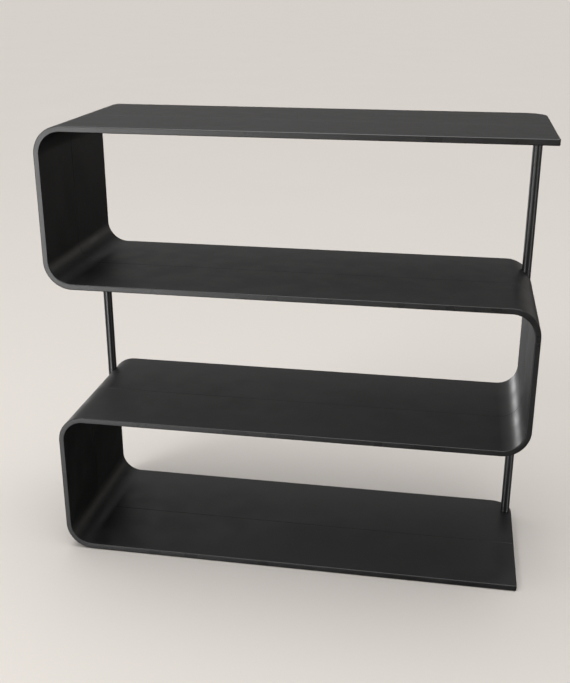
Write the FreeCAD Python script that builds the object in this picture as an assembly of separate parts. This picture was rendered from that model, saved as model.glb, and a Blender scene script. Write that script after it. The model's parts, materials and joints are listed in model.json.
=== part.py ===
"""Zigzag bookshelf: a board ribbon folded into four shelves and propped by three rods.

The ribbon is two strips, front and rear, that meet at a fine seam. Each strip is made of
flat shelf boards and pressed U mouldings, joined end to end by loose tongues. The origin
is on the floor at the middle of the width and depth. +X is to the right, the front edge
faces -Y and +Z is up. Millimetres.
"""
import FreeCAD, Part
import math
import os

# Overall sizes
width = 1000.0
depth = 360.0
lower_bay = 301.0
middle_bay = 290.0
upper_bay = 308.0

# Board ribbon: thickness, outer radius of its bends, straight arms of the U mouldings,
# depth of the front strip, eased edges and the corners of the free ends in plan
board = 12.0
bend_radius = 58.0
arm = 42.0
front_strip = 168.0
arris = 1.2
seam_chamfer = 1.0
rear_corner = 46.0
front_corner = 3.0

# Loose tongues, how far they stop short of an edge or joint, and their slots
tongue_thickness = 4.0
tongue_width = 24.0
tongue_stop = 20.0
tongue_land = 30.0
slot_clearance = 0.1

# Rods: the axis is set in from the end plane and from the rear edge
rod_diameter = 20.0
rod_wall = 1.5
rod_inset = 15.0
rod_from_rear = 46.0
cope_clearance = 0.1

# Spigots: a plug in the rod's end, with a nose in a blind hole of the board
plug_length = 22.0
plug_clearance = 0.1
plug_chamfer = 0.8
spigot_diameter = 8.0
spigot_depth = 8.0
spigot_clearance = 0.1
shoulder_clearance = 0.4

# Floor pads
pad_diameter = 26.0
pad_thickness = 1.5
pad_chamfer = 0.4
pad_inset = 46.0

# Places worked out from the sizes above
LEFT = -1
RIGHT = 1
front_y = -depth / 2
rear_y = depth / 2
seam_y = front_y + front_strip
strip_spans = {"front": (front_y, seam_y), "rear": (seam_y, rear_y)}
shown_edges = {"front": front_y, "rear": rear_y}
free_corners = {"front": front_corner, "rear": rear_corner}

bottom_low = pad_thickness
second_low = bottom_low + board + lower_bay
third_low = second_low + board + middle_bay
top_low = third_low + board + upper_bay
bottom_top = bottom_low + board

joint_run = bend_radius + arm
left_joint = -width / 2 + joint_run
right_joint = width / 2 - joint_run
free_end = width / 2

# Heights of the bend centres that the rods stand on or hang from
third_right = third_low + board - bend_radius
third_left = third_low + bend_radius
second_left = second_low + board - bend_radius
second_right = second_low + bend_radius

# The ribbon's layout: side and heights of each moulding, height and right end of each shelf
mouldings = {
    "upper_left_moulding": (LEFT, third_low, top_low + board),
    "right_moulding": (RIGHT, second_low, third_low + board),
    "lower_left_moulding": (LEFT, bottom_low, second_low + board),
}
shelves = {
    "top_shelf": (top_low, free_end),
    "third_shelf": (third_low, right_joint),
    "second_shelf": (second_low, right_joint),
    "bottom_shelf": (bottom_low, free_end),
}
joints = [(x, low) for low, end in shelves.values() for x in (left_joint, end) if x != free_end]

SAME = 1e-4


def export(node, shape):
    """Write one named piece, or one group of like pieces."""
    shape.exportStep(os.path.join("parts", node + ".step"))


def about(middle, size):
    """Low and high values about a middle."""
    return (middle - size / 2, middle + size / 2)


def block(x, y, z):
    """A box between three pairs of low and high values."""
    corner = FreeCAD.Vector(x[0], y[0], z[0])
    return Part.makeBox(x[1] - x[0], y[1] - y[0], z[1] - z[0], corner)


def outline(start, moves):
    """A closed wire. A move is an end point, or the middle and the end of an arc."""
    edges = []
    here = start
    for move in moves + [(start,)]:
        end = move[-1]
        if len(move) == 2:
            edges.append(Part.Arc(here, move[0], end).toShape())
        else:
            edges.append(Part.LineSegment(here, end).toShape())
        here = end
    return Part.Wire(edges)


def lies_in(edge, axis, level):
    """True for an edge that lies wholly in a plane square to an axis."""
    low = getattr(edge.BoundBox, axis + "Min")
    high = getattr(edge.BoundBox, axis + "Max")
    return abs(low - level) < SAME and abs(high - level) < SAME


def edges_in(solid, axis, level):
    """Edges in a plane, leaving out those where a piece butts against the next one."""
    inside = [edge for edge in solid.Edges if lies_in(edge, axis, level)]
    return [edge for edge in inside
            if not lies_in(edge, "X", left_joint) and not lies_in(edge, "X", right_joint)]


# Ribbon: mouldings and boards


def u_moulding(strip, side, low, high):
    """A pressed U of two bends and a wall, from one shelf's underside to the next one's top."""
    def at(run, z):
        return FreeCAD.Vector(side * (width / 2 - run), 0, z)

    def mid_bend(radius, z, up):
        reach = radius * math.sqrt(0.5)
        return at(bend_radius - reach, z + up * reach)

    inner = bend_radius - board
    below = low + bend_radius
    above = high - bend_radius
    profile = outline(at(joint_run, low), [
        (at(bend_radius, low),),
        (mid_bend(bend_radius, below, -1), at(0, below)),
        (at(0, above),),
        (mid_bend(bend_radius, above, 1), at(bend_radius, high)),
        (at(joint_run, high),),
        (at(joint_run, high - board),),
        (at(bend_radius, high - board),),
        (mid_bend(inner, above, 1), at(board, above)),
        (at(board, below),),
        (mid_bend(inner, below, -1), at(bend_radius, low + board)),
        (at(joint_run, low + board),),
    ])
    near, far = strip_spans[strip]
    solid = Part.Face(profile).extrude(FreeCAD.Vector(0, far - near, 0))
    solid.translate(FreeCAD.Vector(0, near, 0))
    solid = solid.makeChamfer(arris, edges_in(solid, "Y", shown_edges[strip]))
    return solid.makeChamfer(seam_chamfer, edges_in(solid, "Y", seam_y))


def shelf_board(strip, low, end):
    """A flat board from the left joint to the right joint, or to a free end."""
    solid = block((left_joint, end), strip_spans[strip], (low, low + board))
    if end == free_end:
        corner = [edge for edge in edges_in(solid, "X", end) if lies_in(edge, "Y", shown_edges[strip])]
        solid = solid.makeFillet(free_corners[strip], corner)
    seam = [edge for edge in edges_in(solid, "Y", seam_y) if not lies_in(edge, "X", end)]
    solid = solid.makeChamfer(seam_chamfer, seam)
    rims = [edge for level in (low, low + board) for edge in edges_in(solid, "Z", level)]
    shown = [edge for edge in rims if abs(edge.BoundBox.Center.y - seam_y) > 2 * seam_chamfer]
    return solid.makeChamfer(arris, shown)


# Loose tongues, each grown all round by a clearance when it cuts its own slot


def tongue(x, y, z, grow):
    """A flat tongue between three pairs of low and high values."""
    return block(*[(pair[0] - grow, pair[1] + grow) for pair in (x, y, z)])


def joint_tongue(strip, joint, low, grow):
    """The tongue across one joint of a strip."""
    near, far = strip_spans[strip]
    along = (near + tongue_stop, far - tongue_stop)
    return tongue(about(joint, tongue_width), along, about(low + board / 2, tongue_thickness), grow)


def shelf_seam_tongue(low, end, grow):
    """The tongue along the seam of one shelf."""
    clear = tongue_width / 2 + tongue_land
    along = (left_joint + clear, end - clear)
    return tongue(along, about(seam_y, tongue_width), about(low + board / 2, tongue_thickness), grow)


def wall_seam_tongue(side, low, high, grow):
    """The tongue along the seam of one moulding's wall."""
    middle = side * (width / 2 - board / 2)
    along = (low + bend_radius + tongue_land, high - bend_radius - tongue_land)
    return tongue(about(middle, tongue_thickness), about(seam_y, tongue_width), along, grow)


# Rods and spigots


def on_rod_axis(side, z):
    """A point on the axis of the rods of one side."""
    return FreeCAD.Vector(side * (width / 2 - rod_inset), rear_y - rod_from_rear, z)


def rod_cylinder(side, radius, low, high):
    """A cylinder on the axis of the rods of one side."""
    return Part.makeCylinder(radius, high - low, on_rod_axis(side, low))


def bend_cylinder(side, centre):
    """The outer face of a bend, full depth, as the cylinder that copes a rod's end."""
    base = FreeCAD.Vector(side * (width / 2 - bend_radius), front_y, centre)
    return Part.makeCylinder(bend_radius + cope_clearance, depth, base, FreeCAD.Vector(0, 1, 0))


def rod(side, low, high, bends):
    """A tube between two heights, with the ends that stand on bends coped to them."""
    outer = rod_cylinder(side, rod_diameter / 2, low, high)
    tube = outer.cut(rod_cylinder(side, rod_diameter / 2 - rod_wall, low, high))
    for centre in bends:
        tube = tube.cut(bend_cylinder(side, centre))
    return tube


def bend_height(offset):
    """Height of a bend's outer face over its centre, at an offset along X from it."""
    return math.sqrt(bend_radius ** 2 - offset ** 2)


# On a bend, the plug's shoulder stands just clear of the highest part of the face under it
axis_offset = bend_radius - rod_inset
plug_radius = rod_diameter / 2 - rod_wall - plug_clearance
face_height = bend_height(axis_offset)
shoulder_height = bend_height(axis_offset - plug_radius) + shoulder_clearance
bend_nose = shoulder_height - face_height + spigot_depth


def spigot(side, shoulder, up, nose):
    """A turned plug in a rod's end, with a nose that enters the board above or below it."""
    thin = spigot_diameter / 2
    half = [
        (0, -plug_length), (plug_radius - plug_chamfer, -plug_length),
        (plug_radius, plug_chamfer - plug_length), (plug_radius, 0), (thin, 0),
        (thin, nose - plug_chamfer), (thin - plug_chamfer, nose), (0, nose)]
    points = [FreeCAD.Vector(radius, 0, up * z) for radius, z in half]
    face = Part.Face(Part.makePolygon(points + points[:1]))
    solid = face.revolve(FreeCAD.Vector(0, 0, 0), FreeCAD.Vector(0, 0, 1), 360)
    solid.translate(on_rod_axis(side, shoulder))
    return solid


def spigot_hole(side, face, up, outside):
    """A blind hole for a nose, from a start outside the board's face to its floor inside."""
    floor = face + up * (spigot_depth + spigot_clearance)
    low, high = sorted((face - up * outside, floor))
    return rod_cylinder(side, spigot_diameter / 2 + spigot_clearance, low, high)


def floor_pad(x, y):
    """A round pad stuck to the underside of the bottom shelf."""
    disc = Part.makeCylinder(pad_diameter / 2, pad_thickness, FreeCAD.Vector(x, y, 0))
    return disc.makeChamfer(pad_chamfer, edges_in(disc, "Z", 0))


# Write the pieces

os.makedirs("parts", exist_ok=True)

seam_slots = [shelf_seam_tongue(*place, slot_clearance) for place in shelves.values()]
seam_slots += [wall_seam_tongue(*place, slot_clearance) for place in mouldings.values()]
spigot_holes = [
    spigot_hole(RIGHT, top_low, 1, 0),
    spigot_hole(RIGHT, third_right + face_height, -1, bend_nose),
    spigot_hole(LEFT, third_left - face_height, 1, bend_nose),
    spigot_hole(LEFT, second_left + face_height, -1, bend_nose),
    spigot_hole(RIGHT, second_right - face_height, 1, bend_nose),
    spigot_hole(RIGHT, bottom_top, -1, 0),
]

for strip in strip_spans:
    joint_slots = [joint_tongue(strip, x, low, slot_clearance) for x, low in joints]
    cuts = Part.makeCompound(seam_slots + joint_slots + spigot_holes)
    for name, place in mouldings.items():
        export(strip + "_" + name, u_moulding(strip, *place).cut(cuts))
    for name, place in shelves.items():
        export(strip + "_" + name, shelf_board(strip, *place).cut(cuts))
    tongues = [joint_tongue(strip, x, low, 0) for x, low in joints]
    export(strip + "_joint_tongues", Part.makeCompound(tongues))

for name, place in shelves.items():
    export(name + "_seam_tongue", shelf_seam_tongue(*place, 0))
for name, place in mouldings.items():
    export(name + "_seam_tongue", wall_seam_tongue(*place, 0))

export("upper_right_rod", rod(RIGHT, third_right, top_low, [third_right]))
export("left_rod", rod(LEFT, second_left, third_left, [second_left, third_left]))
export("lower_right_rod", rod(RIGHT, bottom_top, second_right, [second_right]))
export("shelf_end_spigots", Part.makeCompound([
    spigot(RIGHT, top_low, 1, spigot_depth),
    spigot(RIGHT, bottom_top, -1, spigot_depth),
]))
export("bend_end_spigots", Part.makeCompound([
    spigot(RIGHT, third_right + shoulder_height, -1, bend_nose),
    spigot(LEFT, third_left - shoulder_height, 1, bend_nose),
    spigot(LEFT, second_left + shoulder_height, -1, bend_nose),
    spigot(RIGHT, second_right - shoulder_height, 1, bend_nose),
]))

first_pad = -width / 2 + bend_radius + pad_diameter / 2
last_pad = free_end - pad_inset
pad_columns = (first_pad, (first_pad + last_pad) / 2, last_pad)
pad_rows = (front_y + pad_inset, rear_y - pad_inset)
export("floor_pads", Part.makeCompound([floor_pad(x, y) for x in pad_columns for y in pad_rows]))
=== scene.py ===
"""Zigzag bookshelf: a black lacquered ribbon of board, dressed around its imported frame.

Laid out as an add-on. Sizes and colours are properties, and each group of like pieces has
an operator that models it in edit mode. Metres, in the frame's own axes: +X to the right,
the front edge faces -Y, and the floor is at Z = 0.
"""
import json
import math

import bmesh
import bpy
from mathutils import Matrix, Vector

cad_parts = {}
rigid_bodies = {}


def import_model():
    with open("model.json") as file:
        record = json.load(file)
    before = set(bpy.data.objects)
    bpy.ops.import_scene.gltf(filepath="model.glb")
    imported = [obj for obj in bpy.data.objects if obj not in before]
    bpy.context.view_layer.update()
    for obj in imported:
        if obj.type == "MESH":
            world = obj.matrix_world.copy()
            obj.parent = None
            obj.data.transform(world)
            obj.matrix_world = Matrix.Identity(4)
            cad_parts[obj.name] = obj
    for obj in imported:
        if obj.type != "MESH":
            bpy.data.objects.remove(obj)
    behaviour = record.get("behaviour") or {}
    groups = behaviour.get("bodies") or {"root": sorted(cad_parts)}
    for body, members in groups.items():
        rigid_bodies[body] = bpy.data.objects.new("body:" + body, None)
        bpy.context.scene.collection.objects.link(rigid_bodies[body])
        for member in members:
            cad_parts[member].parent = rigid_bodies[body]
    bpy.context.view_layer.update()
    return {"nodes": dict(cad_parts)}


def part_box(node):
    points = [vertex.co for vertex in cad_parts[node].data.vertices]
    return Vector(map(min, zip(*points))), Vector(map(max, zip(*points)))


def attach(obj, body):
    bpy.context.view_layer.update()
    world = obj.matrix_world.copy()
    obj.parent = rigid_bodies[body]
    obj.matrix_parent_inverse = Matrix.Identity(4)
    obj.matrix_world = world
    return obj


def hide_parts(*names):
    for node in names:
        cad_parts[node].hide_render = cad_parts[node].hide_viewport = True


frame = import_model()

bl_info = {
    "name": "Zigzag Bookshelf",
    "version": (1, 0, 0),
    "blender": (4, 5, 0),
    "location": "3D View > Sidebar > Bookshelf",
    "description": "Models and finishes a zigzag bookshelf around its packed frame",
    "category": "Add Mesh",
}

BODY = "root"
X, Y, Z = range(3)

# Points nearer than this are one, edges that turn by more than this are sharp, and faces
# whose normal has more Z than this lie flat
SAME = 1e-5
SHARP = math.radians(35)
FLAT = 0.9

# Facets of the rounded arrises and corners, and of the cutters for holes and coped ends
ARRIS_STEPS = 5
CORNER_STEPS = 24
DRILL_SIDES = 48
COPE_SIDES = 256

# Plies in the board, and how far from its middle, in thicknesses, a point is near a face
PLIES = 9
NEAR_FACE = 0.3

STRIPS = ("front", "rear")
MOULDINGS = ("upper_left_moulding", "right_moulding", "lower_left_moulding")
SHELVES = ("top_shelf", "third_shelf", "second_shelf", "bottom_shelf")
TONGUES = [strip + "_joint_tongues" for strip in STRIPS]
TONGUES += [name + "_seam_tongue" for name in SHELVES + MOULDINGS]
SPIGOTS = ("shelf_end_spigots", "bend_end_spigots")

# Planes that the ribbon's pieces share, read from the frame
SHELF_LOW, SHELF_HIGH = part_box("front_top_shelf")
FRONT_Y = SHELF_LOW.y
SEAM_Y = SHELF_HIGH.y
REAR_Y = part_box("rear_top_shelf")[1].y
BOARD = SHELF_HIGH.z - SHELF_LOW.z
SLOT_INSET = BOARD / 6
LEFT_JOINT = SHELF_LOW.x
FREE_END = SHELF_HIGH.x
RIGHT_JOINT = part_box("front_second_shelf")[1].x
SHOWN_EDGE = {"front": FRONT_Y, "rear": REAR_Y}

# Width of the floor, and the place and target of the key lamp
FLOOR_SIZE = 240
KEY_PLACE = (-2.4, -2.6, 3.0)
KEY_TARGET = (0, 0, 0.45)

# Cards that only show as reflections: place and target, width and height, power in watts,
# and the endings of the names of the pieces that they shine on
CARDS = {
    "left_rod_card": ((-0.72, -0.79, 0.1), (0, 0.13, 0.1), 0.15, 2.1, 13, ("tube",)),
    "right_rod_card": ((0.9, -0.15, 0.2), (0.485, 0.134, 0.2), 0.08, 1.7, 2.3, ("tube",)),
    "bend_card": ((-0.7, 2.7, 0.31), (0.46, 0, 0.33), 0.6, 0.3, 8, ("right_moulding_pressing",)),
    "arris_card": ((-0.44, -0.92, 2.24), (0, 0, 0.3), 1.4, 0.8, 9, ("board", "pressing")),
}

# The rods: what each one stands on and hangs from
ROD_ENDS = {
    "upper_right_rod": ("rear_right_moulding", "rear_top_shelf"),
    "left_rod": ("rear_lower_left_moulding", "rear_upper_left_moulding"),
    "lower_right_rod": ("rear_bottom_shelf", "rear_right_moulding"),
}


def distance(name, description, default):
    """A length that a user may change."""
    return bpy.props.FloatProperty(
        name=name, description=description, default=default, min=0, unit="LENGTH", precision=4)


def colour(name, description, default):
    """A colour that a user may change."""
    return bpy.props.FloatVectorProperty(
        name=name, description=description, default=default, size=3, min=0, max=1, subtype="COLOR")


def level(name, description, default):
    """A brightness that a user may change."""
    return bpy.props.FloatProperty(name=name, description=description, default=default, min=0)


def watts(name, description, default):
    """A lamp's power that a user may change."""
    return bpy.props.FloatProperty(
        name=name, description=description, default=default, min=0, unit="POWER")


class RibbonProperties(bpy.types.PropertyGroup):
    """Sizes and finish of the board ribbon."""

    bend_radius: distance("Bend radius", "Outer radius of the bends", 0.058)
    bend_steps: bpy.props.IntProperty(
        name="Bend steps", description="Facets round each bend", default=32, min=4)
    arris_radius: distance("Arris radius", "Rounding of the shown edges", 0.0018)
    seam_chamfer: distance("Seam chamfer", "Eased edge along the seam", 0.001)
    rear_corner: distance("Rear corner", "Plan radius of the rear free corners", 0.046)
    front_corner: distance("Front corner", "Plan radius of the front free corners", 0.003)
    slot_clearance: distance("Slot clearance", "Room round a tongue or a spigot's nose", 0.0001)
    nose_radius: distance("Nose radius", "Radius of a spigot's nose", 0.004)
    nose_depth: distance("Nose depth", "How far a nose enters the board", 0.008)
    lacquer: colour("Lacquer", "Colour of the satin lacquer", (0.009, 0.009, 0.0093))


class RodProperties(bpy.types.PropertyGroup):
    """Sizes and finish of the rods."""

    wall: distance("Wall", "Wall of the tube", 0.0015)
    cope_clearance: distance("Cope clearance", "Gap between a coped end and the bend", 0.0001)
    sides: bpy.props.IntProperty(name="Sides", description="Facets round a rod", default=64, min=12)
    coat: colour("Coat", "Colour of the powder coat", (0.016, 0.016, 0.017))


class StageProperties(bpy.types.PropertyGroup):
    """Floor, light and camera."""

    floor: colour("Floor", "Colour of the floor", (0.66, 0.625, 0.588))
    overhead: level("Overhead", "Brightness of the soft light straight above", 4.3)
    glow: level("Glow", "Brightness of the ceiling round it", 0.58)
    behind: level("Behind", "Brightness of the room behind, above eye level", 0.33)
    rear_wall: level("Rear wall", "Brightness of the wall behind, at eye level", 0.12)
    left_wall: level("Left wall", "Brightness of the wall behind on the left", 0.2)
    rear_floor: level("Rear floor", "Brightness of the floor behind, in reflections", 0.07)
    front_floor: level("Front floor", "Brightness of the lit floor in front, in reflections", 4.7)
    backdrop: level("Backdrop", "Brightness of the backdrop along the horizon", 1.0)
    side_walls: level("Side walls", "Brightness of the walls on the sides and in front", 0.5)
    room: level("Room", "Brightness of the rest of the room", 0.02)
    key: watts("Key", "Power of the soft lamp on the left in front", 56)
    key_size: distance("Key size", "Width of that lamp", 1.5)
    cards: level("Cards", "Level of the reflection cards", 1)
    focal_length: bpy.props.FloatProperty(
        name="Focal length", description="Lens of the camera", default=51.14, min=1, unit="CAMERA")
    camera_place: bpy.props.FloatVectorProperty(
        name="Camera place", description="Where the camera stands", subtype="TRANSLATION",
        default=(0.32157, -1.97499, 1.21808))
    camera_tilt: bpy.props.FloatProperty(
        name="Camera tilt", description="Turn about X, from looking straight down", subtype="ANGLE",
        default=math.radians(69.408))
    camera_turn: bpy.props.FloatProperty(
        name="Camera turn", description="Turn about Z, to the left", subtype="ANGLE",
        default=math.radians(10.077))


# Modelling by hand, in edit mode


def alone(piece):
    """Make one object the active and only selected one."""
    bpy.ops.object.select_all(action="DESELECT")
    piece.select_set(True)
    bpy.context.view_layer.objects.active = piece


def settle(name):
    """Name the new primitive and put its place into its mesh."""
    piece = bpy.context.object
    piece.name = name
    piece.data.name = name
    alone(piece)
    bpy.ops.object.transform_apply(location=True, rotation=True, scale=True)
    return piece


def in_plane(item, axis, plane):
    """True for an edge or a face that lies in a plane square to an axis."""
    return all(abs(vert.co[axis] - plane) < SAME for vert in item.verts)


def select(piece, kind, chosen):
    """Select the edges or faces that pass a test, and nothing else."""
    bpy.ops.mesh.select_mode(type=kind)
    bpy.ops.mesh.select_all(action="DESELECT")
    mesh = bmesh.from_edit_mesh(piece.data)
    for item in mesh.edges if kind == "EDGE" else mesh.faces:
        if chosen(item):
            item.select_set(True)
    bmesh.update_edit_mesh(piece.data)


def selected_box(piece):
    """Lowest and highest corner of what is selected in edit mode."""
    mesh = bmesh.from_edit_mesh(piece.data)
    points = [vert.co for vert in mesh.verts if vert.select]
    return [Vector([side(point[axis] for point in points) for axis in range(3)]) for side in (min, max)]


def extrude(x=0.0, y=0.0, z=0.0):
    """Extrude what is selected."""
    bpy.ops.mesh.extrude_region_move(TRANSFORM_OT_translate={"value": (x, y, z)})


def tidy_mesh():
    """Merge doubles and turn every face outwards."""
    bpy.ops.mesh.select_all(action="SELECT")
    bpy.ops.mesh.remove_doubles(threshold=SAME)
    bpy.ops.mesh.normals_make_consistent(inside=False)


def bevel_selected(size, segments):
    """Bevel the selected edges, round where there are several segments."""
    bpy.ops.mesh.bevel(offset_type="OFFSET", offset=size, segments=segments, affect="EDGES")


def sink_slot(piece, axis, plane, low, high, depth):
    """Inset the face of a plane that a tongue goes through, and sink a slot for it."""
    middle = (low + high) / 2

    def entered(face):
        centre = face.calc_center_median()
        across = [other for other in range(3) if other != axis]
        reach = [max(abs(vert.co[other] - centre[other]) for vert in face.verts) for other in across]
        near = [abs(middle[other] - centre[other]) < size for other, size in zip(across, reach)]
        return in_plane(face, axis, plane) and all(near)

    select(piece, "FACE", entered)
    bpy.ops.mesh.inset(thickness=SLOT_INSET, use_even_offset=True)
    inner_low, inner_high = selected_box(piece)
    sizes = [(high[other] - low[other]) / (inner_high[other] - inner_low[other]) if other != axis else 1
             for other in range(3)]
    inner_middle = (inner_low + inner_high) / 2
    bpy.ops.transform.resize(value=sizes, center_override=inner_middle)
    shift = middle - inner_middle
    shift[axis] = 0
    bpy.ops.transform.translate(value=shift)
    inward = Vector((0, 0, 0))
    inward[axis] = depth
    extrude(*inward)


def cut_away(piece, cutter):
    """Cut one object out of another, and remove the cutter."""
    alone(piece)
    modifier = piece.modifiers.new("cut", "BOOLEAN")
    modifier.operation = "DIFFERENCE"
    modifier.solver = "EXACT"
    modifier.object = cutter
    bpy.ops.object.modifier_apply(modifier=modifier.name)
    bpy.data.objects.remove(cutter)


def smooth(piece):
    """Shade rounded parts smoothly, led by the large flat faces."""
    alone(piece)
    bpy.ops.object.shade_smooth_by_angle(angle=SHARP)
    modifier = piece.modifiers.new("weighted", "WEIGHTED_NORMAL")
    modifier.keep_sharp = True
    bpy.ops.object.modifier_apply(modifier=modifier.name)


def dress(piece, material, node):
    """Give a piece its finish and put it in the place of its node."""
    piece.data.materials.clear()
    piece.data.materials.append(material)
    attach(piece, BODY)
    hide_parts(node)


# The board ribbon


def shelf_depth(node):
    """How deep a point of a shelf lies in the board, from 0 at one face to 1 at the other."""
    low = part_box(node)[0].z
    return lambda point: (point.z - low) / BOARD


def moulding_depth(node, bend):
    """How deep a point of a moulding lies in the board, from 0 outside to 1 inside."""
    low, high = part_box(node)
    outer = max(abs(low.x), abs(high.x))

    def depth(point):
        run = outer - abs(point.x)
        below = max(low.z + bend - point.z, point.z - high.z + bend, 0)
        if below == 0:
            return run / BOARD
        across = max(bend - run, 0)
        return (bend - math.hypot(across, below)) / BOARD

    return depth


def note_depth(piece, depth):
    """Keep each point's depth in the board, for the plies that show along the edges."""
    plies = piece.data.attributes.new("ply_depth", "FLOAT", "POINT")
    for vert, note in zip(piece.data.vertices, plies.data):
        note.value = depth(vert.co)


def joint_slots(piece, strip, plane, inward, low, high):
    """Slots for the joint tongues, in the butt ends of a piece that lie in one plane."""
    tongue_low, tongue_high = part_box(strip + "_joint_tongues")
    half_width = tongue_high.x - RIGHT_JOINT
    half_thickness = tongue_high.z - (SHELF_LOW.z + SHELF_HIGH.z) / 2
    room = bpy.context.scene.ribbon.slot_clearance
    for middle in {round(z, 5) for z in (low.z + BOARD / 2, high.z - BOARD / 2)}:
        slot_low = Vector((plane, tongue_low.y - room, middle - half_thickness - room))
        slot_high = Vector((plane, tongue_high.y + room, middle + half_thickness + room))
        sink_slot(piece, X, plane, slot_low, slot_high, inward * (half_width + room))


def seam_slot(piece, strip, name):
    """The slot for the tongue along the seam."""
    tongue_low, tongue_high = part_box(name + "_seam_tongue")
    room = Vector((1, 1, 1)) * bpy.context.scene.ribbon.slot_clearance
    inward = (tongue_low - room).y if strip == "front" else (tongue_high + room).y
    sink_slot(piece, Y, SEAM_Y, tongue_low - room, tongue_high + room, inward - SEAM_Y)


def ease_edges(piece, depth, rim):
    """Round the shown edges, and more finely the edges along the seam."""
    sizes = bpy.context.scene.ribbon
    alone(piece)
    bpy.ops.object.mode_set(mode="EDIT")

    def eased(edge):
        at_joint = in_plane(edge, X, LEFT_JOINT) or in_plane(edge, X, RIGHT_JOINT)
        return not at_joint and edge.calc_face_angle() > SHARP

    def along_seam(edge):
        near_face = all(abs(depth(vert.co) - 0.5) > NEAR_FACE for vert in edge.verts)
        return in_plane(edge, Y, SEAM_Y) and near_face and eased(edge)

    select(piece, "EDGE", lambda edge: rim(edge) and eased(edge))
    bpy.ops.transform.edge_bevelweight(value=1)
    select(piece, "EDGE", along_seam)
    bpy.ops.transform.edge_bevelweight(value=sizes.seam_chamfer / sizes.arris_radius)
    bpy.ops.object.mode_set(mode="OBJECT")
    modifier = piece.modifiers.new("eased", "BEVEL")
    modifier.limit_method = "WEIGHT"
    modifier.width = sizes.arris_radius
    modifier.segments = ARRIS_STEPS
    modifier.use_clamp_overlap = False
    bpy.ops.object.modifier_apply(modifier=modifier.name)


def press_moulding(strip, name):
    """Sweep a butt end along an arm, round a bend, up the wall, round a bend and back."""
    sizes = bpy.context.scene.ribbon
    node = strip + "_" + name
    low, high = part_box(node)
    side = 1 if low.x > 0 else -1
    joint, wall = (low.x, high.x) if side > 0 else (high.x, low.x)
    bend = sizes.bend_radius
    centre = wall - side * bend
    butt = Vector((joint, (low.y + high.y) / 2, low.z + BOARD / 2))
    bpy.ops.object.select_all(action="DESELECT")
    bpy.ops.mesh.primitive_plane_add(size=1, location=butt, rotation=(0, math.pi / 2, 0))
    piece = settle(node + "_pressing")
    bpy.ops.object.mode_set(mode="EDIT")
    bpy.ops.mesh.select_all(action="SELECT")
    bpy.ops.transform.resize(value=(1, high.y - low.y, BOARD), center_override=butt)

    def turn(height):
        bpy.ops.mesh.spin(steps=sizes.bend_steps, angle=side * math.pi / 2,
                          center=(centre, butt.y, height), axis=(0, 1, 0))

    extrude(x=centre - joint)
    turn(low.z + bend)
    extrude(z=high.z - low.z - 2 * bend)
    turn(high.z - bend)
    extrude(x=joint - centre)
    tidy_mesh()
    joint_slots(piece, strip, joint, side, low, high)
    seam_slot(piece, strip, name)

    def rim(edge):
        return in_plane(edge, Y, SHOWN_EDGE[strip])

    complete_board(piece, node, moulding_depth(node, bend), rim)


def cut_shelf(strip, name):
    """Square up a board, round its free corner and ease its edges."""
    sizes = bpy.context.scene.ribbon
    node = strip + "_" + name
    low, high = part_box(node)
    bpy.ops.object.select_all(action="DESELECT")
    bpy.ops.mesh.primitive_cube_add(size=1, location=(low + high) / 2, scale=high - low)
    piece = settle(node + "_board")
    bpy.ops.object.mode_set(mode="EDIT")
    joint_slots(piece, strip, low.x, 1, low, high)
    if high.x < FREE_END - SAME:
        joint_slots(piece, strip, high.x, -1, low, high)
    seam_slot(piece, strip, name)
    if high.x > FREE_END - SAME:
        shown = SHOWN_EDGE[strip]
        select(piece, "EDGE", lambda edge: in_plane(edge, X, FREE_END) and in_plane(edge, Y, shown))
        corner = sizes.front_corner if strip == "front" else sizes.rear_corner
        bevel_selected(corner, CORNER_STEPS)

    def rim(edge):
        at_face = in_plane(edge, Z, low.z) or in_plane(edge, Z, high.z)
        return at_face and not in_plane(edge, Y, SEAM_Y)

    complete_board(piece, node, shelf_depth(node), rim)


def complete_board(piece, node, depth, rim):
    """Drill a piece for the rods, ease its edges and put it in its node's place."""
    bpy.ops.object.mode_set(mode="OBJECT")
    drill_for_rods(piece, node)
    ease_edges(piece, depth, rim)
    smooth(piece)
    note_depth(piece, depth)
    dress(piece, lacquer_material(bpy.context.scene.ribbon), node)


def bend_face(node, rod, upper):
    """Height of a bend's outer face on the axis of a rod, at the moulding's top or bottom."""
    bend = bpy.context.scene.ribbon.bend_radius
    low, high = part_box(node)
    axis = (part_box(rod)[0].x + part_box(rod)[1].x) / 2
    offset = bend - (max(abs(low.x), abs(high.x)) - abs(axis))
    rise = math.sqrt(bend ** 2 - offset ** 2)
    return high.z - bend + rise if upper else low.z + bend - rise


def drill_for_rods(piece, node):
    """Drill the blind holes for the noses of the spigots in the rods that meet a piece."""
    sizes = bpy.context.scene.ribbon
    low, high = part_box(node)
    for rod, (foot, head) in ROD_ENDS.items():
        for carrier, up in ((foot, -1), (head, 1)):
            if carrier != node:
                continue
            if "moulding" in node:
                face = bend_face(node, rod, upper=up < 0)
            else:
                face = high.z if up < 0 else low.z
            rod_low, rod_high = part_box(rod)
            floor = face + up * (sizes.nose_depth + sizes.slot_clearance)
            mouth = face - up * BOARD
            place = (rod_low + rod_high) / 2
            place.z = (floor + mouth) / 2
            bpy.ops.object.select_all(action="DESELECT")
            bpy.ops.mesh.primitive_cylinder_add(
                vertices=DRILL_SIDES, radius=sizes.nose_radius + sizes.slot_clearance,
                depth=abs(floor - mouth), location=place)
            cut_away(piece, settle("drill"))


class BOOKSHELF_OT_press_mouldings(bpy.types.Operator):
    """Sweep the U mouldings of both strips"""

    bl_idname = "bookshelf.press_mouldings"
    bl_label = "Press Mouldings"

    def execute(self, context):
        for strip in STRIPS:
            for name in MOULDINGS:
                press_moulding(strip, name)
        return {"FINISHED"}


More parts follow.
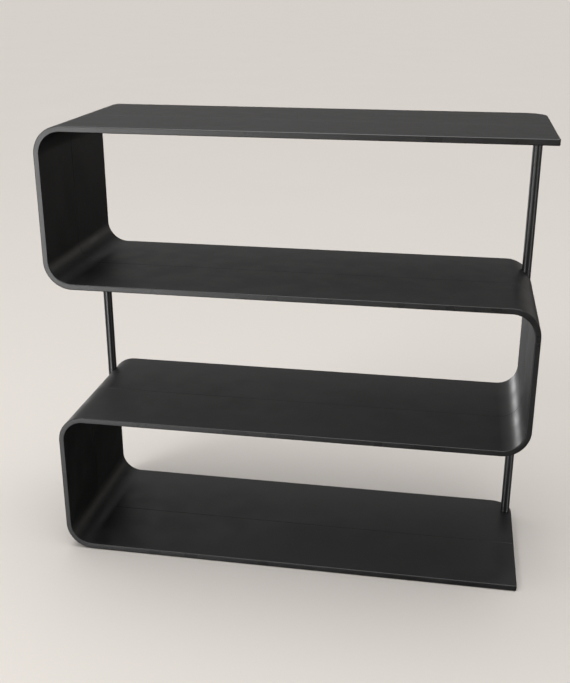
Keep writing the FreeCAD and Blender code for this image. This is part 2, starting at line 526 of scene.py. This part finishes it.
class BOOKSHELF_OT_cut_shelves(bpy.types.Operator):
    """Cut the flat shelf boards of both strips"""

    bl_idname = "bookshelf.cut_shelves"
    bl_label = "Cut Shelf Boards"

    def execute(self, context):
        for strip in STRIPS:
            for name in SHELVES:
                cut_shelf(strip, name)
        return {"FINISHED"}


# The rods


def draw_rod(rod):
    """Bore a bar into a tube, and cope the ends that meet a bend."""
    sizes = bpy.context.scene.rods
    bend = bpy.context.scene.ribbon.bend_radius
    low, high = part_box(rod)
    bpy.ops.object.select_all(action="DESELECT")
    bpy.ops.mesh.primitive_cylinder_add(
        vertices=sizes.sides, radius=(high.x - low.x) / 2, depth=high.z - low.z, location=(low + high) / 2)
    piece = settle(rod + "_tube")
    bpy.ops.object.mode_set(mode="EDIT")
    select(piece, "FACE", lambda face: abs(face.normal.z) > FLAT)
    bpy.ops.mesh.inset(thickness=sizes.wall, use_individual=True)
    bpy.ops.mesh.bridge_edge_loops()
    tidy_mesh()
    bpy.ops.object.mode_set(mode="OBJECT")
    foot, head = ROD_ENDS[rod]
    for carrier, upper in ((foot, True), (head, False)):
        if "moulding" not in carrier:
            continue
        carrier_low, carrier_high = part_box(carrier)
        side = 1 if carrier_low.x > 0 else -1
        outer = carrier_high.x if side > 0 else carrier_low.x
        height = carrier_high.z - bend if upper else carrier_low.z + bend
        place = Vector((outer - side * bend, (low.y + high.y) / 2, height))
        bpy.ops.object.select_all(action="DESELECT")
        bpy.ops.mesh.primitive_cylinder_add(
            vertices=COPE_SIDES, radius=bend + sizes.cope_clearance, depth=2 * bend, location=place,
            rotation=(math.pi / 2, 0, 0))
        cut_away(piece, settle("cope"))
    alone(piece)
    bpy.ops.object.mode_set(mode="EDIT")
    tidy_mesh()
    bpy.ops.object.mode_set(mode="OBJECT")
    return piece


class BOOKSHELF_OT_draw_rods(bpy.types.Operator):
    """Make the tubes that prop the ribbon's open ends"""

    bl_idname = "bookshelf.draw_rods"
    bl_label = "Draw Rods"

    def execute(self, context):
        material = coat_material(context.scene.rods)
        for rod in ROD_ENDS:
            piece = draw_rod(rod)
            smooth(piece)
            dress(piece, material, rod)
        return {"FINISHED"}


class BOOKSHELF_OT_finish_hidden(bpy.types.Operator):
    """Finish the tongues, spigots and floor pads, whose shapes come from the frame"""

    bl_idname = "bookshelf.finish_hidden"
    bl_label = "Finish Hidden Pieces"

    def execute(self, context):
        finishes = (
            (beech_material(), TONGUES), (steel_material(), SPIGOTS), (rubber_material(), ["floor_pads"]))
        for material, nodes in finishes:
            for node in nodes:
                slots = frame["nodes"][node].data.materials
                slots.clear()
                slots.append(material)
        return {"FINISHED"}


# Materials


class Value:
    """A shader socket whose arithmetic adds Math nodes."""

    def __init__(self, paint, socket):
        self.paint = paint
        self.socket = socket

    def maths(self, operation, *terms):
        """A Math node on these terms."""
        return self.paint.add("ShaderNodeMath", {"operation": operation}, dict(enumerate(terms)))

    def beside(self, name):
        """Another output of the same node."""
        return Value(self.paint, self.socket.node.outputs[name])

    def __add__(self, other):
        return self.maths("ADD", self, other)

    def __sub__(self, other):
        return self.maths("SUBTRACT", self, other)

    def __rsub__(self, other):
        return self.maths("SUBTRACT", other, self)

    def __mul__(self, other):
        return self.maths("MULTIPLY", self, other)

    def __abs__(self):
        return self.maths("ABSOLUTE", self)

    __radd__ = __add__
    __rmul__ = __mul__


class Paint:
    """A node tree that is written one node at a time."""

    def __init__(self, tree):
        tree.nodes.clear()
        self.tree = tree

    def add(self, kind, settings=None, sockets=None, output=0):
        """Add a node, set it up, feed its sockets and give back one of its outputs."""
        node = self.tree.nodes.new(kind)
        for name, value in (settings or {}).items():
            setattr(node, name, value)
        for name, value in (sockets or {}).items():
            if isinstance(value, Value):
                self.tree.links.new(value.socket, node.inputs[name])
            else:
                node.inputs[name].default_value = value
        return Value(self, node.outputs[output]) if node.outputs else None

    def place(self, stretch=(1, 1, 1)):
        """Object coordinates, stretched along the axes."""
        here = self.add("ShaderNodeTexCoord", output="Object")
        return self.add("ShaderNodeMapping", {}, {"Vector": here, "Scale": stretch})

    def noise(self, where, scale, detail=2.0):
        """Soft noise about 0.5."""
        return self.add("ShaderNodeTexNoise", {}, {"Vector": where, "Scale": scale, "Detail": detail})

    def blend(self, factor, first, second):
        """A mix of two colours."""
        inputs = {0: factor, 6: first, 7: second}
        return self.add("ShaderNodeMix", {"data_type": "RGBA"}, inputs, output=2)

    def step(self, value, low, high):
        """A smooth step from 0 at one value to 1 at another."""
        return self.add("ShaderNodeMapRange", {"interpolation_type": "SMOOTHSTEP"}, {
            "Value": value, "From Min": low, "From Max": high})

    def bump(self, height, relief, under=None):
        """A bump with its relief in metres, over another one where given."""
        inputs = {"Height": height, "Distance": relief}
        if under:
            inputs["Normal"] = under
        return self.add("ShaderNodeBump", {}, inputs)

    def surface(self, **sockets):
        """Close the tree with a Principled shader."""
        names = {name.replace("_", " "): value for name, value in sockets.items()}
        shader = self.add("ShaderNodeBsdfPrincipled", {}, names)
        self.add("ShaderNodeOutputMaterial", {}, {"Surface": shader})


def new_material(name):
    """A material and the tree that paints it, or the finished one and no tree."""
    if name in bpy.data.materials:
        return bpy.data.materials[name], None
    material = bpy.data.materials.new(name)
    material.use_nodes = True
    return material, Paint(material.node_tree)


def shade(tint, amount):
    """A colour made lighter or darker, with its alpha."""
    return (*[channel * amount for channel in tint], 1)


def lacquer_material(sizes):
    """Satin black lacquer: grain shows through faintly, and plies along the edges."""
    material, paint = new_material("satin_black_lacquer")
    if not paint:
        return material

    def clouds(scale, detail):
        """Noise with more contrast."""
        return paint.step(paint.noise(paint.place(), scale, detail), 0.36, 0.64)

    mottle = clouds(4.0, 3.0) * 0.4 + clouds(16.0, 5.0) * 0.6
    grain = paint.noise(paint.place((4, 320, 4)), 1.0, 4.0)
    peel = paint.noise(paint.place(), 700.0, 1.0)
    depth = paint.add("ShaderNodeAttribute", {"attribute_name": "ply_depth"}, output="Fac")
    ply = paint.add("ShaderNodeMath", {"operation": "PINGPONG"}, {0: depth * PLIES, 1: 0.5})
    lines = paint.step(ply, 0.12, 0.0) * paint.step(abs(depth - 0.5), 0.42, 0.36)
    edge = paint.step(abs(depth - 0.5), 0.5, 0.42)
    tone = paint.blend(mottle * 0.7 + grain * 0.3, shade(sizes.lacquer, 0.4), shade(sizes.lacquer, 1.6))
    fine = paint.bump(peel, 0.00002)
    grained = paint.bump(grain, 0.00004, under=fine)
    paint.surface(
        Base_Color=tone,
        Roughness=0.37 + mottle * 0.11 + grain * 0.04 + lines * 0.06 - edge * 0.14,
        Coat_Weight=edge,
        Coat_Roughness=0.28,
        Normal=paint.bump(1 - lines, 0.00006, under=grained))
    return material


def coat_material(sizes):
    """Satin black powder coat with a fine orange peel."""
    material, paint = new_material("black_powder_coat")
    if not paint:
        return material
    peel = paint.noise(paint.place(), 900.0, 2.0)
    cloud = paint.noise(paint.place(), 14.0)
    tone = paint.blend(peel * 0.5 + cloud * 0.5, shade(sizes.coat, 0.75), shade(sizes.coat, 1.25))
    paint.surface(Base_Color=tone, Roughness=0.3 + cloud * 0.08, Normal=paint.bump(peel, 0.00003))
    return material


def beech_material():
    """Raw beech with its flecks, along X and Z."""
    material, paint = new_material("raw_beech")
    if not paint:
        return material
    grain = paint.noise(paint.place((12, 260, 12)), 1.0, 5.0)
    fleck = paint.noise(paint.place((90, 900, 90)), 1.0)
    tone = paint.blend(grain * 0.8 + fleck * 0.2, (0.46, 0.3, 0.17, 1), (0.72, 0.54, 0.36, 1))
    paint.surface(Base_Color=tone, Roughness=0.55 + fleck * 0.15, Normal=paint.bump(grain, 0.00008))
    return material


def steel_material():
    """Turned steel with fine tool rings about Z."""
    material, paint = new_material("turned_steel")
    if not paint:
        return material
    rings = paint.noise(paint.place((1, 1, 4000)), 1.0, 2.0)
    tone = paint.blend(rings, (0.5, 0.5, 0.51, 1), (0.66, 0.66, 0.67, 1))
    paint.surface(Base_Color=tone, Metallic=1.0, Roughness=0.25 + rings * 0.2,
                  Normal=paint.bump(rings, 0.00002))
    return material


def rubber_material():
    """Matt black rubber with a moulded grain."""
    material, paint = new_material("matt_black_rubber")
    if not paint:
        return material
    grain = paint.noise(paint.place(), 1600.0, 2.0)
    tone = paint.blend(grain, (0.018, 0.018, 0.018, 1), (0.04, 0.04, 0.04, 1))
    paint.surface(Base_Color=tone, Roughness=0.75 + grain * 0.15, Normal=paint.bump(grain, 0.00005))
    return material


def floor_material(stage):
    """A pale seamless floor, very slightly mottled."""
    material, paint = new_material("pale_floor")
    if not paint:
        return material
    cloud = paint.noise(paint.place(), 1.2)
    tone = paint.blend(cloud, shade(stage.floor, 0.985), shade(stage.floor, 1.015))
    paint.surface(Base_Color=tone, Roughness=0.9 - cloud * 0.1, Specular_IOR_Level=0.2)
    return material


# The stage


def add_floor(stage):
    """A wide floor that runs out of sight. Pieces reflect the world's patches instead of it."""
    bpy.ops.object.select_all(action="DESELECT")
    bpy.ops.mesh.primitive_plane_add(size=FLOOR_SIZE)
    floor = settle("floor")
    floor.data.materials.append(floor_material(stage))
    floor.visible_glossy = False
    floor.visible_shadow = False


def light_world(stage):
    """A soft light overhead, a pale backdrop, and patches of light that the black pieces reflect."""
    world = bpy.data.worlds.new("studio")
    bpy.context.scene.world = world
    world.use_nodes = True
    paint = Paint(world.node_tree)

    # The direction looked in, from -1 to 1 along each axis, with Z = 0 at the horizon
    toward = paint.add("ShaderNodeTexCoord", output="Generated")
    x = paint.add("ShaderNodeSeparateXYZ", {}, {0: toward}, output="X")
    y = x.beside("Y")
    z = x.beside("Z")

    def band(value, start, full, fade, stop):
        """1 between full and fade, going softly to 0 at start and stop."""
        return paint.step(value, start, full) * paint.step(value, stop, fade)

    overhead = stage.overhead * paint.step(z, 0.85, 1.0) + stage.glow * paint.step(z, 0.5, 0.85)
    behind = stage.behind * band(z, 0.27, 0.5, 0.55, 0.8) * paint.step(x, 0.3, 0.05)
    # Twice as bright on the left
    behind = behind * (1 + paint.step(x, 0.0, -0.35))
    rear_wall = stage.rear_wall * band(z, -0.24, -0.04, 0.0, 0.32) * band(x, -0.5, -0.2, 0.28, 0.46)
    left_wall = stage.left_wall * band(z, -0.5, -0.3, 0.1, 0.3) * paint.step(x, -0.36, -0.58)
    # Far brighter below the horizon, where it stands for the lit floor
    left_wall = left_wall * (1 + 6.5 * paint.step(z, -0.02, -0.12))
    rear_floor = stage.rear_floor * band(z, -0.5, -0.2, -0.1, 0.0) * band(x, -0.75, -0.55, 0.1, 0.3)
    # Brighter on the left as well
    rear_floor = rear_floor * (1 + 3 * paint.step(x, -0.35, -0.5))
    front_floor = stage.front_floor * band(z, -0.65, -0.1, -0.1, 0.02) * band(x, -0.7, -0.5, -0.46, -0.06)
    rear = paint.step(y, 0.0, 0.5) * (behind + rear_wall + left_wall + rear_floor)
    front = paint.step(y, -0.2, -0.6) * front_floor
    side_walls = stage.side_walls * band(z, 0.0, 0.15, 0.3, 0.5) * paint.step(y, 0.75, 0.45)
    light = paint.add("ShaderNodeBackground", {}, {
        "Color": (1, 0.995, 0.99, 1), "Strength": stage.room + overhead + rear + front})
    backdrop = paint.add("ShaderNodeBackground", {}, {
        "Color": shade(stage.floor, 1.0),
        "Strength": side_walls + stage.backdrop * band(z, -0.04, 0.0, 0.06, 0.18)})
    both = paint.add("ShaderNodeAddShader", {}, {0: light, 1: backdrop})
    paint.add("ShaderNodeOutputWorld", {}, {"Surface": both})


def add_lamp(name, place, target, width, height, power):
    """An area light that faces a target."""
    bpy.ops.object.select_all(action="DESELECT")
    bpy.ops.object.light_add(type="AREA", location=place)
    lamp = bpy.context.object
    lamp.name = name
    lamp.rotation_euler = (Vector(target) - Vector(place)).to_track_quat("-Z", "Y").to_euler()
    lamp.data.shape = "RECTANGLE"
    lamp.data.size = width
    lamp.data.size_y = height
    lamp.data.energy = power
    lamp.visible_camera = False
    return lamp


def add_key(stage):
    """A broad soft light from the left in front, for the shadows."""
    key = add_lamp("key", KEY_PLACE, KEY_TARGET, stage.key_size, stage.key_size, stage.key)
    key.visible_glossy = False


def add_card(name, place, target, width, height, power, endings):
    """A light that only pieces with these name endings reflect and block."""
    card = add_lamp(name, place, target, width, height, power)
    card.visible_diffuse = False
    lit = bpy.data.collections.new(name + "_lit")
    for piece in bpy.context.scene.objects:
        if piece.name.endswith(endings):
            lit.objects.link(piece)
    card.light_linking.receiver_collection = lit
    card.light_linking.blocker_collection = lit


def add_camera(stage):
    """The camera, where the photograph was taken from."""
    bpy.ops.object.select_all(action="DESELECT")
    turned = (stage.camera_tilt, 0, stage.camera_turn)
    bpy.ops.object.camera_add(location=stage.camera_place, rotation=turned)
    camera = bpy.context.object
    camera.data.lens = stage.focal_length
    bpy.context.scene.camera = camera


class BOOKSHELF_OT_set_stage(bpy.types.Operator):
    """Set up the floor, the light and the camera"""

    bl_idname = "bookshelf.set_stage"
    bl_label = "Set Stage"

    def execute(self, context):
        stage = context.scene.stage
        add_floor(stage)
        light_world(stage)
        add_key(stage)
        for name, (place, target, width, height, power, endings) in CARDS.items():
            add_card(name, place, target, width, height, power * stage.cards, endings)
        add_camera(stage)
        context.scene.view_settings.view_transform = "Standard"
        return {"FINISHED"}


# Panel and registration


class BOOKSHELF_PT_sidebar(bpy.types.Panel):
    """Properties and operators in the sidebar"""

    bl_label = "Zigzag Bookshelf"
    bl_idname = "BOOKSHELF_PT_sidebar"
    bl_space_type = "VIEW_3D"
    bl_region_type = "UI"
    bl_category = "Bookshelf"

    def draw(self, context):
        for operator in OPERATORS:
            self.layout.operator(operator.bl_idname)
        for group in GROUPS:
            box = self.layout.box()
            box.label(text=group.title())
            settings = getattr(context.scene, group)
            for name in settings.__annotations__:
                box.prop(settings, name)


OPERATORS = (
    BOOKSHELF_OT_press_mouldings,
    BOOKSHELF_OT_cut_shelves,
    BOOKSHELF_OT_draw_rods,
    BOOKSHELF_OT_finish_hidden,
    BOOKSHELF_OT_set_stage,
)
GROUPS = {"ribbon": RibbonProperties, "rods": RodProperties, "stage": StageProperties}
CLASSES = (*GROUPS.values(), *OPERATORS, BOOKSHELF_PT_sidebar)


def register():
    """Register the classes and hang the properties on the scene."""
    for item in CLASSES:
        bpy.utils.register_class(item)
    for name, group in GROUPS.items():
        setattr(bpy.types.Scene, name, bpy.props.PointerProperty(type=group))


def unregister():
    """Undo register."""
    for name in GROUPS:
        delattr(bpy.types.Scene, name)
    for item in reversed(CLASSES):
        bpy.utils.unregister_class(item)


def main():
    """Make the bookshelf and its stage."""
    register()
    bpy.ops.bookshelf.press_mouldings()
    bpy.ops.bookshelf.cut_shelves()
    bpy.ops.bookshelf.draw_rods()
    bpy.ops.bookshelf.finish_hidden()
    bpy.ops.bookshelf.set_stage()


if __name__ == "__main__":
    main()
